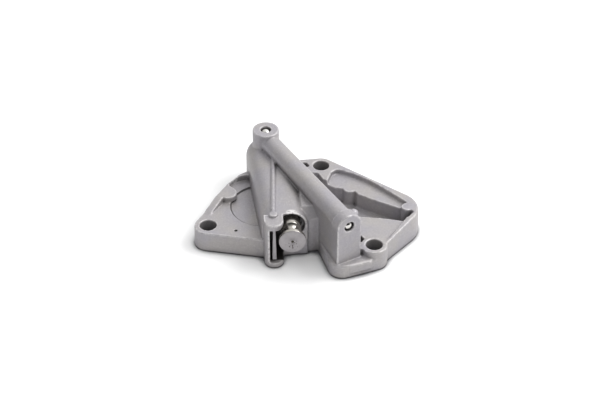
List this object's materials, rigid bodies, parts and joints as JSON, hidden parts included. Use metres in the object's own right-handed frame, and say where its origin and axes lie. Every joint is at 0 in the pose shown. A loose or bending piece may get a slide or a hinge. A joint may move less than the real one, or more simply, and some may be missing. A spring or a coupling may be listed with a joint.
{
  "type": "hydraulic timing chain tensioner",
  "caption": "Die-cast tensioner body with a ribbed mounting plate, a slanting oil gallery tube and a sprung steel plunger with a flared head.",
  "frame": {"origin": "centre of the left bolt hole on the machined mounting face", "axes": "+X from the left bolt hole towards the right side of the plate, +Z out of the mounting face, -Y the way the plunger points"},
  "size_m": [0.1226, 0.0979, 0.0382],
  "materials": {
    "cast_aluminium": "matt as-cast with machined pads",
    "ground_steel": "ground",
    "bright_ball": "polished",
    "spring_steel": "drawn wire",
    "stamped_steel": "stamped"
  },
  "bodies": {
    "housing_body": {"housing": "cast_aluminium", "plunger_spring": "spring_steel", "retaining_ring": "spring_steel", "check_valve_seat": "ground_steel", "check_ball_cage": "stamped_steel", "check_spring": "spring_steel", "top_ball_plug": "bright_ball", "front_ball_plug": "bright_ball", "lever_pivot_pin": "ground_steel"},
    "plunger_body": {"plunger": "ground_steel", "vent_disc": "stamped_steel"},
    "check_ball_body": {"check_ball": "bright_ball"},
    "lock_lever_body": {"lock_lever": "stamped_steel"}
  },
  "joints": [
    {"name": "plunger_slide", "type": "slide", "parent": "housing_body", "child": "plunger_body", "axis": [0, 1, 0], "range_m": [0, 0.0138], "stiffness_N_per_m": 2000, "springref_m": -0.01, "deforming": ["plunger_spring"]},
    {"name": "check_ball_lift", "type": "slide", "parent": "housing_body", "child": "check_ball_body", "axis": [0, -1, 0], "range_m": [0, 0.0008], "stiffness_N_per_m": 40, "springref_m": -0.0005, "deforming": ["check_spring"]},
    {"name": "lock_lever_swing", "type": "hinge", "parent": "housing_body", "child": "lock_lever_body", "pos_m": [0.0343, -0.0196, 0.014], "axis": [0, 0, 1], "range_deg": [0, 50]}
  ]
}
